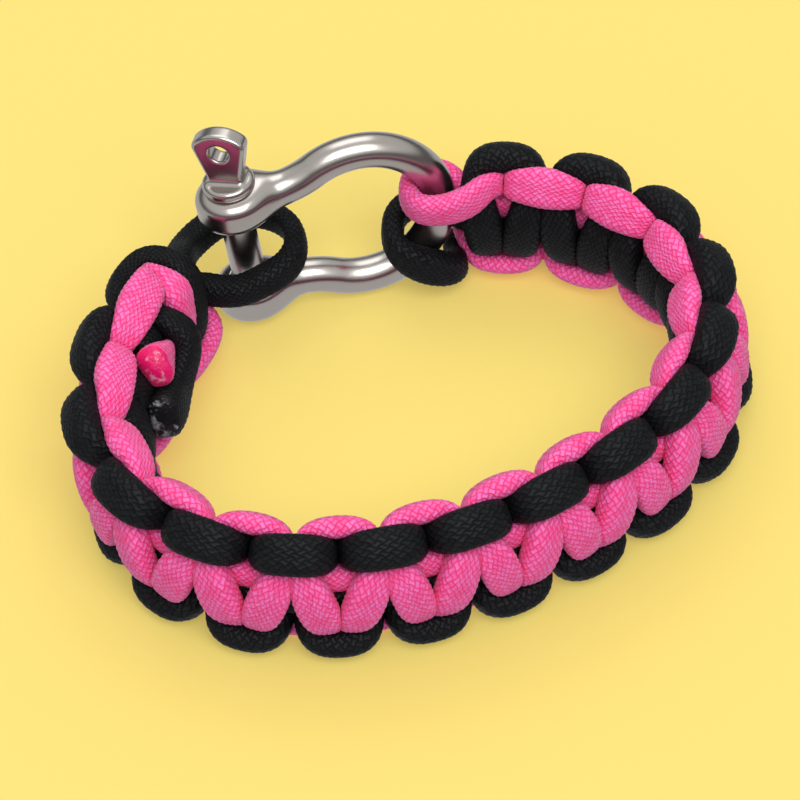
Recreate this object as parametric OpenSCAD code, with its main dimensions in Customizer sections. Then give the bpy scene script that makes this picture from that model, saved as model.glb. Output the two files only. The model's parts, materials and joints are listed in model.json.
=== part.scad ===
// Woven paracord bracelet: two cords knotted over their own cores, closed by a bow shackle.
// The band stands on its lower edge on z = 0. Lengths are millimetres.

/* [Cord] */
// Diameter of the braided cord
cord_d = 4; // [3.6:0.1:4.4]
// Full knots along the band
knots = 16; // [14:1:18]

/* [Shackle] */
// Diameter of the bow's bar
bar_d = 4.2; // [3.8:0.1:4.4]
// Clear width between the two ears
jaw_w = 9.2; // [8.6:0.1:10.2]
// Radius of the bow, to the middle of its bar
bow_r = 9.3; // [8.8:0.1:10]
// Length from the pin's axis to the centre of the bow's circle
bow_reach = 14.3; // [13.6:0.1:16]
// Radius of each shoulder, to the middle of the bar
shoulder_r = 12; // [10:0.5:13]
// Diameter of an ear
ear_d = 8.6; // [8.2:0.1:9.4]
// Thickness of an ear
ear_t = 4.4; // [4.4:0.1:5]
// Rounding of an ear's rim
ear_round = 1.6; // [1:0.1:2]

/* [Pin] */
// Diameter of the pin's shaft
pin_d = 4; // [3.6:0.1:4.4]
// Play between the pin and its holes, on the radius
pin_play = 0.06; // [0.04:0.01:0.1]
// How far the pin's tip stays inside the lower ear's outer face
tip_inset = 0.3; // [0:0.1:0.8]
// Diameter of the collar
collar_d = 6.2; // [5.8:0.1:7.2]
// Thickness of the collar
collar_t = 1.4; // [1:0.1:2]
// Width of the thumb tab near its top
tab_w = 6.6; // [6:0.1:7.4]
// Width of the thumb tab at its foot
tab_foot = 3.8; // [3.4:0.1:4.6]
// Height of the thumb tab above the collar
tab_h = 7.2; // [6.6:0.1:8]
// Radius of the tab's round top
tab_round = 4.2; // [3.8:0.1:6]
// Thickness of the thumb tab
tab_t = 2.2; // [1.8:0.1:2.8]
// Diameter of the eye through the tab
eye_d = 2.4; // [1.8:0.1:2.8]
// Height of the eye's middle above the collar
eye_up = 4.5; // [4:0.1:5]
// Turn of the tab about the pin, from the plane of the bow towards the front
tab_turn = 28; // [0:1:60]

/* [Place of the shackle] */
// Middle of the pin's axis, left of the band's centre
pin_left = 18.3; // [17.5:0.1:20.5]
// Middle of the pin's axis, behind the band's centre
pin_back = 23.6; // [22:0.1:26]
// Height of the jaw's middle
pin_high = 9.6; // [9.4:0.1:11]
// Turn of the bow to the back
shackle_turn = 13; // [8:1:16]
// Lean of the pin's top to the back
lean_back = 7.5; // [5:0.5:9]
// Lean of the pin's top away from the bow
lean_left = 7.5; // [5:0.5:9]

/* [Hidden] */
SIDES = 8;
ROUND = 48;
size = cord_d / 4;
half_knots = 2 * knots;
half_len = 1.25 * cord_d;
ear_h = jaw_w + ear_t;
hole_r = pin_d / 2 + pin_play;
ear_top = ear_h / 2 + ear_t / 2;

// How the band runs, at equal steps from the pin's end to the bow's end.
// heading: way it runs; slack: stretch of the knots there; twist: top edge leaning out.
BAND = [
    // heading, slack, twist
    [-117, 1.3, 20],
    [-97, 1.12, 15],
    [-40, 1, 3],
    [5, 1, -2],
    [29, 1, -2],
    [47, 1, -5],
    [90, 1, -8],
    [147, 1, -4],
    [187, 1, -5],
];
// Where the band's centre line ends, from the crown of the bow
BAND_END = [2.8, 0.3];

// One strand from the middle of its crossing to the middle of the bight at the edge.
// along: share of half a knot; across, out, side, thick: shares of the cord's diameter;
// lean: angle of the section's short axis.
STITCH = [
    // along, across, out, side, thick, lean
    [-0.10, 0.57, 0.72, 0.46, 0.34, 8],
    [-0.21, 1.01, 0.43, 0.38, 0.35, 25],
    [-0.25, 1.30, 0.00, 0.28, 0.37, 45],
    [-0.11, 1.68, -0.39, 0.30, 0.38, 45],
    [0.50, 1.82, -0.51, 0.33, 0.48, 45],
];
BIGHT = STITCH[4];

// Heart of the band, where a core strand runs
CORE_Y = 1.7;
CORE_SIDE = 1.5;
CORE_THICK = 1.5;

// The routes below are drawn for a 4 mm cord, in millimetres. Places beside the band are
// along (half knots), across, out, side, thick, lean. Places round the pin are counted from
// the middle of its axis: towards the bow, to the back, up, side, thick.
PINK_BOW = [
    [31.6, 1.7, 0.1, 1.4, 1.6, 90],
    [31.85, 1.9, 0.9, 1.15, 1.7, 90],
    [32.02, 2.2, 2.0, 1.1, 1.8, 90],
    [32.2, 2.6, 3.1, 1.25, 1.8, 90],
    [32.5, 3.0, 3.7, 1.3, 1.8, 90],
    [32.9, 3.5, 3.6, 1.15, 1.9, 90],
    [33.25, 3.9, 2.1, 1.1, 1.9, 90],
    [33.38, 4.2, 0.2, 1.1, 1.9, 90],
    [33.32, 4.5, -1.7, 1.1, 1.9, 90],
    [33.0, 4.9, -3.2, 1.2, 1.9, 90],
    [32.58, 5.2, -3.7, 1.3, 1.9, 88],
    [32.2, 5.6, -3.6, 1.35, 1.9, 80],
    [31.8, 6.2, -3.1, 1.3, 1.8, 65],
    [31.45, 6.6, -1.7, 1.2, 1.55, 50],
];
BLACK_BOW = [
    [31.6, -1.7, 0.0, 1.35, 1.5, 90],
    [31.9, -1.8, 0.5, 1.2, 1.6, 90],
    [32.2, -1.8, 1.8, 1.3, 1.7, 90],
    [32.5, -1.8, 3.0, 1.3, 1.7, 90],
    [32.9, -1.7, 3.4, 1.3, 1.8, 90],
    [33.3, -1.7, 2.6, 1.25, 1.9, 90],
    [33.55, -1.7, 1.2, 1.2, 1.9, 90],
    [33.64, -1.7, -0.6, 1.2, 2.0, 90],
    [33.66, -1.7, -2.6, 1.15, 1.8, 90],
    [33.46, -2.1, -4.4, 1.15, 1.9, 88],
    [33.06, -2.9, -5.3, 1.2, 1.9, 84],
    [32.67, -4.1, -5.2, 1.3, 1.9, 78],
    [32.35, -5.3, -4.4, 1.35, 1.9, 68],
    [32.2, -6.3, -2.8, 1.3, 1.8, 55],
    [32.16, -7.0, -1.1, 1.3, 1.8, 48],
    [32.06, -7.1, 0.5, 1.3, 1.8, 45],
    [31.88, -7.2, 1.6, 1.3, 1.8, 45],
    [31.6, -7.1, 2.0, 1.3, 1.8, 45],
];
PINK_TAIL = [
    [0.92, 5.7, -1.4, 1.3, 1.5, 90],
    [1.06, 5.6, -2.9, 1.5, 1.4, 130],
    [1.2, 4.7, -4.2, 1.9, 1.3, 165],
    [1.29, 2.8, -4.5, 1.95, 1.2, 180],
    [1.4, 0.8, -4.5, 2.0, 1.2, 180],
    [1.54, -0.6, -3.9, 1.8, 1.0, 180],
    [1.85, -0.8, -3.8, 1.6, 0.95, 180],
    [2.14, 0.3, -4.5, 1.6, 0.95, 180],
    [2.48, 1.5, -5.2, 1.6, 0.95, 180],
    [2.8, 2.6, -5.6, 1.8, 1.2, 175],
    [3.06, 3.4, -5.8, 1.9, 1.4, 165],
    [3.24, 4.1, -6.1, 1.6, 1.4, 150],
];
BLACK_TURN = [
    [1.45, -7.2, 1.95, 1.3, 1.9, 45],
    [1.15, -6.9, 1.5, 1.3, 1.8, 45],
    [0.98, -5.5, -0.1, 1.2, 1.4, 45],
    [0.92, -4.3, -1.8, 1.5, 1.35, 25],
    [0.83, -2.2, -2.8, 1.8, 1.25, 8],
    [0.68, 0, -2.9, 1.8, 1.2, 0],
    [0.5, 2.0, -2.7, 1.8, 1.2, -8],
    [0.36, 3.6, -1.6, 1.5, 1.3, -25],
    [0.24, 4.8, 0.3, 1.4, 1.4, -45],
    [0.35, 6.1, 2.1, 1.4, 1.4, -45],
    [0.78, 6.4, 3.0, 1.5, 1.5, -45],
    [1.22, 6.6, 3.0, 1.5, 1.6, -45],
    [1.56, 6.6, 2.3, 1.4, 1.6, -45],
    [1.79, 6.3, 1.2, 1.15, 1.45, -45],
    [1.84, 5.3, -0.2, 1.15, 1.3, -45],
    [1.84, 4.4, -2.2, 1.3, 1.25, -35],
    [1.86, 3.5, -4.6, 1.5, 1.3, -20],
    [1.9, 2.1, -7.0, 1.6, 1.3, -10],
    [2.06, 0.4, -7.2, 1.8, 1.3, 0],
    [2.48, -0.9, -6.5, 2.0, 1.4, 0],
    [2.92, -1.7, -5.8, 2.0, 1.5, 0],
    [3.3, -2.0, -5.7, 2.0, 1.5, 0],
    [3.62, -1.8, -5.8, 1.9, 1.6, 0],
    [3.85, -1.4, -6.0, 1.6, 1.5, 0],
];
BLACK_JOINT = [
    [1.1, 1.7, 0, 1.5, 1.55, 90],
    [0.5, 1.7, 0, 1.5, 1.55, 90],
    [0, 1.6, 0.8, 1.6, 1.6, 90],
];
BLACK_LEG = [
    [-0.1, -2.8, -2.4, 1.6, 1.6, 90],
    [0, -2.0, -0.4, 1.5, 1.6, 90],
    [0.4, -1.75, 0, 1.5, 1.5, 90],
];
PIN_LOOP = [
    [-6.4, 2.6, -0.4, 1.7, 1.7],
    [-3.8, 5.2, -0.8, 1.75, 1.75],
    [-0.8, 6.8, -1, 1.75, 1.75],
    [2.4, 6.6, -1, 1.75, 1.75],
    [5.0, 4.6, -1, 1.75, 1.75],
    [6.5, 1.6, -1, 1.75, 1.75],
    [6.3, -1.6, -1.1, 1.75, 1.75],
    [4.4, -4.1, -1.4, 1.75, 1.75],
    [1.2, -4.8, -1.9, 1.75, 1.75],
    [-1.8, -4.9, -2.4, 1.7, 1.7],
];

// Curves
function unit(v) = v / norm(v);
function blend(a, b, c, d, f) =
    (2 * b + (c - a) * f + (2 * a - 5 * b + 4 * c - d) * f * f
    + (3 * b - a - 3 * c + d) * f * f * f) / 2;
function row(i) = i < 0 ? 2 * BAND[0] - BAND[1]
    : i >= len(BAND) ? 2 * BAND[len(BAND) - 1] - BAND[len(BAND) - 2] : BAND[i];
function run(along) =
    let (last = len(BAND) - 1, x = min(max(along / half_knots, 0), 1) * last,
        i = min(floor(x), last - 1))
    blend(row(i - 1), row(i), row(i + 1), row(i + 2), x - i);
function step(along) =
    let (r = run(along)) half_len * r[1] * [cos(r[0]), sin(r[0])];

// Centre line of the band, laid down in half steps
START = [for (i = 0, p = [0, 0]; i <= 2 * half_knots; p = p + step(i / 2 + 0.25) / 2, i = i + 1) p];
PIN_PLACE = [-pin_left, pin_back, pin_high];
CROWN = PIN_PLACE + turned([bow_reach + bow_r, 0, 0]);
SHIFT = [CROWN[0], CROWN[1]] + BAND_END * size - START[2 * half_knots];
function centre(along) =
    along <= 0 ? SHIFT + step(0) * along
    : along >= half_knots ? SHIFT + START[2 * half_knots] + step(half_knots) * (along - half_knots)
    : let (i = floor(2 * along), f = 2 * along - i)
        SHIFT + START[i] * (1 - f) + START[i + 1] * f;

// The band's own directions: along it, across it (up), and out of it
function out_flat(along) = let (h = run(along)[0]) [sin(h), -cos(h), 0];
function up_way(along) =
    let (t = run(along)[2]) [0, 0, cos(t)] + sin(t) * out_flat(along);
function out_way(along) =
    let (t = run(along)[2]) cos(t) * out_flat(along) - [0, 0, sin(t)];
function rest_height(twist) = cord_d * (2.235 * cos(twist) + 0.487 * abs(sin(twist)));
function beside_band(p) =
    let (c = centre(p[0]))
    [c[0], c[1], rest_height(run(p[0])[2])] + up_way(p[0]) * p[1] + out_way(p[0]) * p[2];

// The shackle's own directions
function turned(v) =
    let (x1 = v[0] * cos(lean_left) - v[2] * sin(lean_left),
        z1 = v[0] * sin(lean_left) + v[2] * cos(lean_left),
        y2 = v[1] * cos(lean_back) + z1 * sin(lean_back),
        z2 = z1 * cos(lean_back) - v[1] * sin(lean_back))
    [x1 * cos(shackle_turn) - y2 * sin(shackle_turn), x1 * sin(shackle_turn) + y2 * cos(shackle_turn), z2];

// A station of a cord: its place, the way its section's short axis points, and its half sizes
function band_station(p) =
    [beside_band(p), sin(p[5]) * up_way(p[0]) + cos(p[5]) * out_way(p[0]), p[3] * crowding(p), p[4]];
// Share of its width that a strand keeps where a bend of the band crowds the stitches
function crowding(p) =
    min(1, norm(beside_band(p + [0.1, 0, 0]) - beside_band(p - [0.1, 0, 0])) / (0.2 * half_len));
function sized(r) = [r[0], r[1] * size, r[2] * size, r[3] * size, r[4] * size, r[5]];
function beside(rows) = [for (r = rows) band_station(sized(r))];
function round_pin(rows) =
    [for (r = rows) [PIN_PLACE + turned([r[0], r[1], r[2]]), turned([0, 0, 1]), r[3] * size, r[4] * size]];
function core(from, to, across) =
    beside([for (u = [from : 1 : to]) [u, across, 0, CORE_SIDE, CORE_THICK, 90]]);

// One row of the stitch, where strand is 1 on the outer face and -1 on the inner one,
// end is 1 on the side of the higher half knot, and edge is 1 at the top edge
function stitch_station(knot, end, edge, strand, r) =
    band_station([knot + 0.5 + end * r[0], strand * edge * r[1] * cord_d, strand * r[2] * cord_d,
        r[3] * cord_d, r[4] * cord_d, edge * r[5]]);
function half_knot(knot, strand) =
    let (edge = knot % 2 == 1 ? 1 : -1)
    [for (i = [4 : -1 : 0]) stitch_station(knot, 1, edge, strand, STITCH[i]),
        for (i = [0 : 3]) stitch_station(knot, -1, -edge, strand, STITCH[i])];
function weave(first, last, strand) =
    [for (k = [first : -1 : last]) each half_knot(k, strand)];
function without(list, head, tail) = [for (i = [head : len(list) - 1 - tail]) list[i]];

// Rings round a line of stations, and the solid through them
function ring(s, i) =
    let (t = unit(s[min(i + 1, len(s) - 1)][0] - s[max(i - 1, 0)][0]),
        n = unit(s[i][1] - (s[i][1] * t) * t), w = cross(t, n))
    [for (k = [0 : SIDES - 1]) let (a = (k + 0.5) * 360 / SIDES)
        s[i][0] + (w * s[i][2] * cos(a) + n * s[i][3] * sin(a))];
function rings(s) = [for (i = [0 : len(s) - 1]) each ring(s, i)];
module cord(s) {
    last = (len(s) - 1) * SIDES;
    polyhedron(
        points = rings(s),
        faces = [
            [for (k = [SIDES - 1 : -1 : 0]) k],
            [for (k = [0 : SIDES - 1]) last + k],
            for (i = [0 : len(s) - 2], k = [0 : SIDES - 1])
                let (a = i * SIDES + k, b = i * SIDES + (k + 1) % SIDES)
                each [[a, b + SIDES, a + SIDES], [a, b, b + SIDES]]
        ]);
}

// Black cord: joint, loop round the pin, lower core, bight round the bow, inner strand
BLACK_ROUTE = concat(
    beside(BLACK_JOINT), round_pin(PIN_LOOP), beside(BLACK_LEG), core(1, half_knots - 1, -CORE_Y),
    beside(BLACK_BOW), without(weave(half_knots - 1, 2, -1), 1, 0),
    [stitch_station(1, 1, 1, -1, BIGHT)], beside(BLACK_TURN));
module black_cord() {
    color("#1b1b1d") in_place() cord(BLACK_ROUTE);
}

// Pink cord: upper core, bight round the bow, outer strand
PINK_ROUTE = concat(
    core(1.5, half_knots - 0.8, CORE_Y), beside(PINK_BOW), without(weave(half_knots - 1, 0, 1), 2, 1),
    beside(PINK_TAIL));
module pink_cord() {
    color("#f2188a") in_place() cord(PINK_ROUTE);
}

// Middle of the whole part on the floor, which becomes the origin
SKIN = concat(rings(BLACK_ROUTE), rings(PINK_ROUTE));
MIDDLE = [for (k = [0, 1]) let (v = [for (q = SKIN) q[k]]) (min(v) + max(v)) / 2];
module in_place() {
    translate([-MIDDLE[0], -MIDDLE[1], 0]) children();
}

// Puts a shape drawn round the pin's middle, with the pin up and the bow to +X, in its place
module at_shackle() {
    in_place() translate(PIN_PLACE)
        rotate([0, 0, shackle_turn]) rotate([-lean_back, 0, 0]) rotate([0, -lean_left, 0]) children();
}

// Arc of round bar in the plane of the shackle, from one angle to another
module bar_arc(middle, radius, from, to, bar) {
    translate([middle[0], 0, middle[1]]) rotate([90, 0, 0]) rotate([0, 0, from])
        rotate_extrude(angle = to - from, $fn = ROUND) translate([radius, 0]) circle(d = bar, $fn = ROUND);
}

// Disc with a rounded rim
module rounded_disc(diameter, thick, rim) {
    rotate_extrude($fn = ROUND) union() {
        translate([0, -thick / 2]) square([diameter / 2 - rim, thick]);
        translate([diameter / 2 - rim - 0.01, rim - thick / 2]) square([rim + 0.01, thick - 2 * rim]);
        for (side = [-1, 1])
            translate([diameter / 2 - rim, side * (thick / 2 - rim)]) intersection() {
                circle(r = rim, $fn = ROUND);
                translate([0, side > 0 ? 0 : -rim]) square(rim);
            }
    }
}

// Bow of the shackle: two ears, a straight neck and a shoulder each, and the round bow.
// The shoulders are a hair thinner, so that their ends sit inside the neck and the bow.
module shackle_bow() {
    rise = ear_h / 2 + shoulder_r;
    neck = bow_reach - sqrt(pow(shoulder_r + bow_r, 2) - rise * rise);
    join = atan2(rise, neck - bow_reach);
    lap = 1;
    hair = 0.06;
    color("#c9c9cc") at_shackle() difference() {
        union() {
            for (side = [-1, 1]) {
                translate([0, 0, side * ear_h / 2]) rounded_disc(ear_d, ear_t, ear_round);
                translate([0, 0, side * ear_h / 2]) rotate([0, 90, 0]) cylinder(d = bar_d, h = neck, $fn = ROUND);
            }
            bar_arc([neck, rise], shoulder_r, -90 - lap, join - 180 + lap, bar_d - hair);
            bar_arc([neck, -rise], shoulder_r, 180 - join - lap, 90 + lap, bar_d - hair);
            bar_arc([bow_reach, 0], bow_r, -join, join, bar_d);
        }
        cylinder(r = hole_r, h = 2 * ear_top + 2, center = true, $fn = ROUND);
    }
}

// Outline of the thumb tab: straight sides that spread from the foot to a round top
module tab_outline() {
    corner_up = tab_h - tab_round + sqrt(pow(tab_round, 2) - pow(tab_w / 2, 2));
    sunk = 0.3;
    intersection() {
        polygon([[-tab_foot / 2, -sunk], [tab_foot / 2, -sunk], [tab_w / 2, corner_up], [tab_w / 2, tab_h + 1],
            [-tab_w / 2, tab_h + 1], [-tab_w / 2, corner_up]]);
        union() {
            translate([0, tab_h - tab_round]) circle(r = tab_round, $fn = ROUND);
            translate([-tab_w, -sunk]) square([2 * tab_w, tab_h - tab_round + sunk]);
        }
    }
}

// Screw pin: shaft, collar and a flared thumb tab with an eye
module shackle_pin() {
    seat = ear_top + pin_play;
    tab_from = seat + collar_t;
    rim = 0.4 * collar_t;
    color("#c9c9cc") at_shackle() difference() {
        union() {
            translate([0, 0, -ear_top + tip_inset]) cylinder(d = pin_d, h = 2 * ear_top, $fn = ROUND);
            translate([0, 0, seat + collar_t / 2]) rounded_disc(collar_d, collar_t, rim);
            translate([0, 0, tab_from]) rotate([90, 0, -tab_turn]) translate([0, 0, -tab_t / 2])
                linear_extrude(tab_t) tab_outline();
        }
        translate([0, 0, tab_from + eye_up]) rotate([90, 0, -tab_turn])
            cylinder(d = eye_d, h = 2 * tab_t, center = true, $fn = ROUND);
    }
}

black_cord();
pink_cord();
shackle_bow();
shackle_pin();
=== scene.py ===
"""Looks of a two-colour paracord bracelet: braided cords in a cobra weave and a polished bow shackle."""

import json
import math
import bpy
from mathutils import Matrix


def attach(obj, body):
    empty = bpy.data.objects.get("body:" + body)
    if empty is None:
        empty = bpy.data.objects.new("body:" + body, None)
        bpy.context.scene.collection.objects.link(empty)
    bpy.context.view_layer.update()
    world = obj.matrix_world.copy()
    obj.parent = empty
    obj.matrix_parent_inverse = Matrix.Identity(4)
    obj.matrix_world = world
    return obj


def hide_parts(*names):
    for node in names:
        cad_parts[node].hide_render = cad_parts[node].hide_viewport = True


bl_info = {
    "name": "Cobra Weave Bracelet",
    "version": (1, 0, 0),
    "blender": (4, 5, 0),
    "location": "View3D > Sidebar > Bracelet",
    "description": "Builds a paracord bracelet with braided cords, a bow shackle and its screw pin",
    "category": "Add Mesh",
}

import bpy
import numpy as np
from mathutils import Vector

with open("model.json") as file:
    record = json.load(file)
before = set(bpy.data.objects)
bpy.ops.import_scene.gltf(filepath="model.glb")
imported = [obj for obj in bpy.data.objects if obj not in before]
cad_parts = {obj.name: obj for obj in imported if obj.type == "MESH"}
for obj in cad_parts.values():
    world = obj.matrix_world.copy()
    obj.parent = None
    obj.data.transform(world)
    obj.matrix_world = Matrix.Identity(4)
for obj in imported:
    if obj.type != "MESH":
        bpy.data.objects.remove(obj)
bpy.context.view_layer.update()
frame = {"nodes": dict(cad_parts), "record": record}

MM = 0.001

# How the band runs, at equal steps from the pin's end to the bow's end:
# the way it runs in degrees, the stretch of the knots there, and the lean of the top edge
BAND = np.array([
    [-117, 1.3, 20],
    [-97, 1.12, 15],
    [-40, 1, 3],
    [5, 1, -2],
    [29, 1, -2],
    [47, 1, -5],
    [90, 1, -8],
    [147, 1, -4],
    [187, 1, -5],
], float)
# Where the band's centre line ends, from the crown of the bow
BAND_END = np.array([2.8, 0.3])
HALF_KNOTS = 32

# One strand from the middle of its crossing to the middle of its bight: along the band in
# half knots; across, out, free half width and half thickness in cord diameters; lean of the
# section in degrees. Pressed into a strap, the outer strand (1) narrows where it dips under
# the edge, and the inner strand (-1) lies broad over the edge.
STITCH = {
    1: [
        [-0.14, 0.57, 0.72, 0.57, 0.40, 8],
        [-0.33, 1.01, 0.43, 0.46, 0.40, 25],
        [-0.41, 1.30, 0.00, 0.28, 0.40, 45],
        [-0.20, 1.68, -0.39, 0.31, 0.50, 45],
        [0.50, 1.82, -0.51, 0.35, 0.62, 45],
    ],
    -1: [
        [-0.10, 0.57, 0.72, 0.64, 0.37, 8],
        [-0.19, 1.01, 0.43, 0.58, 0.38, 25],
        [-0.15, 1.30, 0.00, 0.47, 0.48, 45],
        [0.04, 1.68, -0.39, 0.55, 0.60, 45],
        [0.50, 1.82, -0.51, 0.45, 0.60, 45],
    ],
}
CORE_Y = 1.7
CORE_HALF = 1.8

# Free parts of the cords, in millimetres: along (half knots), across, out, half width,
# half thickness, lean of the section
PINK_BOW = [
    [31.6, 1.7, 0.1, 1.4, 1.6, 90],
    [31.85, 1.9, 0.9, 1.15, 1.7, 90],
    [32.02, 2.2, 2.0, 1.1, 1.8, 90],
    [32.2, 2.6, 3.1, 1.25, 1.8, 90],
    [32.5, 3.0, 3.7, 1.3, 1.8, 90],
    [32.9, 3.5, 3.6, 1.15, 1.9, 90],
    [33.16, 3.9, 2.0, 1.1, 1.9, 90],
    [33.26, 4.2, 0.2, 1.1, 1.9, 90],
    [33.22, 4.5, -1.7, 1.1, 1.9, 90],
    [33.0, 4.9, -3.2, 1.2, 1.9, 90],
    [32.58, 5.2, -3.7, 1.3, 1.9, 88],
    [32.2, 5.6, -3.6, 1.35, 1.9, 80],
    [31.8, 6.2, -3.1, 1.3, 1.8, 65],
    [31.45, 6.6, -1.7, 1.2, 1.55, 50],
]
BLACK_BOW = [
    [31.6, -1.7, 0.0, 1.35, 1.5, 90],
    [31.9, -1.8, 0.5, 1.2, 1.6, 90],
    [32.2, -1.8, 1.8, 1.3, 1.7, 90],
    [32.5, -1.8, 3.0, 1.3, 1.7, 90],
    [32.9, -1.7, 3.4, 1.3, 1.8, 90],
    [33.3, -1.7, 2.6, 1.25, 1.9, 90],
    [33.55, -1.7, 1.2, 1.2, 1.9, 90],
    [33.64, -1.7, -0.6, 1.2, 2.0, 90],
    [33.66, -1.7, -2.6, 1.15, 1.8, 90],
    [33.46, -2.1, -4.3, 1.2, 2.2, 88],
    [33.06, -2.9, -5.1, 1.3, 2.3, 84],
    [32.67, -4.0, -5.0, 1.4, 2.2, 78],
    [32.33, -5.1, -4.3, 1.4, 2.0, 68],
    [32.16, -6.1, -2.8, 1.3, 1.8, 55],
    [32.16, -7.0, -1.1, 1.3, 1.8, 48],
    [32.06, -7.1, 0.5, 1.3, 1.8, 45],
    [31.88, -7.2, 1.6, 1.3, 1.8, 45],
    [31.6, -7.1, 2.0, 1.3, 1.8, 45],
]
PINK_TAIL = [
    [1.1, 5.6, -1.4, 1.4, 1.9, 90],
    [1.18, 5.3, -2.9, 1.9, 1.5, 130],
    [1.2, 4.5, -3.9, 2.2, 1.4, 165],
    [1.29, 2.8, -4.0, 2.0, 1.2, 180],
    [1.4, 0.8, -3.9, 2.0, 1.2, 180],
    [1.54, -0.6, -3.5, 1.8, 1.1, 180],
    [1.85, -0.8, -3.4, 1.7, 1.1, 180],
    [2.14, 0.3, -3.8, 1.8, 1.2, 180],
    [2.48, 1.5, -4.3, 2.0, 1.3, 180],
    [2.8, 2.6, -4.6, 2.3, 1.6, 175],
    [3.06, 3.4, -4.8, 2.5, 1.8, 165],
    [3.3, 4.1, -5.0, 2.4, 1.8, 155],
]
BLACK_TURN = [
    [1.45, -7.2, 1.95, 1.3, 1.9, 45],
    [1.15, -6.9, 1.5, 1.3, 1.8, 45],
    [0.98, -5.5, -0.1, 1.2, 1.4, 45],
    [0.92, -4.3, -1.8, 1.5, 1.35, 25],
    [0.83, -2.2, -2.8, 1.8, 1.25, 8],
    [0.68, 0, -2.9, 1.8, 1.2, 0],
    [0.5, 2.0, -2.7, 1.8, 1.2, -8],
    [0.42, 3.6, -1.6, 1.5, 1.3, -25],
    [0.4, 4.7, 0.3, 1.35, 1.3, -45],
    [0.58, 5.6, 2.0, 1.3, 1.25, -45],
    [0.98, 5.9, 2.7, 1.3, 1.2, -45],
    [1.36, 6.0, 2.7, 1.3, 1.2, -45],
    [1.64, 6.1, 2.2, 1.3, 1.25, -45],
    [1.82, 6.0, 1.2, 1.15, 1.3, -45],
    [1.84, 5.3, -0.2, 1.15, 1.3, -45],
    [1.84, 4.4, -2.2, 1.3, 1.25, -35],
    [1.86, 3.5, -4.0, 1.6, 1.4, -20],
    [1.9, 2.1, -5.7, 1.8, 1.4, -10],
    [2.06, 0.4, -5.9, 1.9, 1.4, 0],
    [2.48, -0.9, -5.3, 2.2, 1.7, 0],
    [2.92, -1.6, -4.9, 2.6, 2.1, 0],
    [3.3, -1.6, -4.9, 2.9, 2.4, 0],
    [3.65, -1.2, -4.8, 3.1, 2.5, 0],
    [3.98, -0.7, -4.8, 2.9, 2.3, 0],
]
BLACK_JOINT = [
    [1.1, 1.7, 0, 1.5, 1.55, 90],
    [0.5, 1.7, 0, 1.5, 1.55, 90],
    [0, 1.6, 0.8, 1.6, 1.6, 90],
]
BLACK_LEG = [
    [-0.1, -2.8, -2.4, 1.6, 1.6, 90],
    [0, -2.0, -0.4, 1.5, 1.6, 90],
    [0.4, -1.75, 0, 1.5, 1.5, 90],
]
# Round the pin: towards the bow, to the back, up, half width, half thickness
PIN_LOOP = [
    [-6.4, 2.6, -0.4, 1.7, 1.7],
    [-3.8, 5.2, -0.8, 1.75, 1.75],
    [-0.8, 6.8, -1, 1.75, 1.75],
    [2.4, 6.4, -1, 1.5, 1.75],
    [4.7, 4.5, -1, 1.35, 1.8],
    [6.1, 1.6, -1, 1.3, 1.8],
    [5.9, -1.6, -1.1, 1.35, 1.8],
    [4.2, -4.0, -1.4, 1.5, 1.8],
    [1.2, -4.8, -1.9, 1.65, 1.75],
    [-1.8, -4.9, -2.4, 1.7, 1.7],
]

# Place of the shackle: middle of the pin, its turn and its leans in degrees
PIN_PLACE = np.array([-18.3, 23.6, 9.6])
SHACKLE_TURN = 13
LEAN_BACK = 7.5
LEAN_LEFT = 7.5
# From the pin's middle up to the eye
EYE_UP = 14.96
# Turn of the thumb tab about the pin, from the plane of the bow towards the front
TAB_TURN = 28

# In cord diameters: length of a half knot, half size of a loose cord, and height of the
# band's centre line where it is upright, with what a lean adds to it
KNOT_LENGTH = 1.25
LOOSE_HALF = 0.51
CENTRE_HEIGHT = 2.235
LEAN_HEIGHT = 0.487

# Squareness of a cord's section, where 2 is an ellipse
SECTION_POWER = 3
# How far along itself a cord doesn't press on itself, and how near a neighbour counts
SAME_STRAND = 7.0
NEAR = 4.8
# Each station of a cord or bar counts as an ellipsoid with this half length along its line
CORD_DEPTH = 1.2
BAR_DEPTH = 0.6
# Air under a cord and between a cord and the bow, and a cord's furthest reach below its line
FLOOR_GAP = 0.03
BAR_GAP = 0.04
FLOOR_REACH = 3.0
# Shares that a cord keeps: of the radius of its own bend, and at the least of its free size
BEND_SHARE = 0.82
LEAST_SHARE = 0.25

# Singed ends: colour of the melted cord and of the ash on it
MELT = {
    "black": [(0.008, 0.008, 0.009), (0.3, 0.3, 0.31)],
    "pink": [(0.72, 0.006, 0.13), (0.85, 0.36, 0.48)],
}

# Light of the room: height of the direction, and its brightness
SKY = [[0.0, 0.66], [0.03, 0.12], [0.3, 0.1], [0.46, 0.72], [1.0, 0.72]]
# Lamps: place and size in metres, and colour
KEY_LAMP = [(-0.3, 1.5, 2.3), (1.9, 1.6), (1, 0.99, 0.98)]
FILL_LAMP = [(0.3, -1.5, 2.6), (2.4, 1.8), (1, 1, 1)]
# Half width of the floor in metres, and how high up the bracelet the camera looks
FLOOR_HALF = 3.0
LOOK_HEIGHT = 9


# The sizes and colours that a user would change

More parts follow.
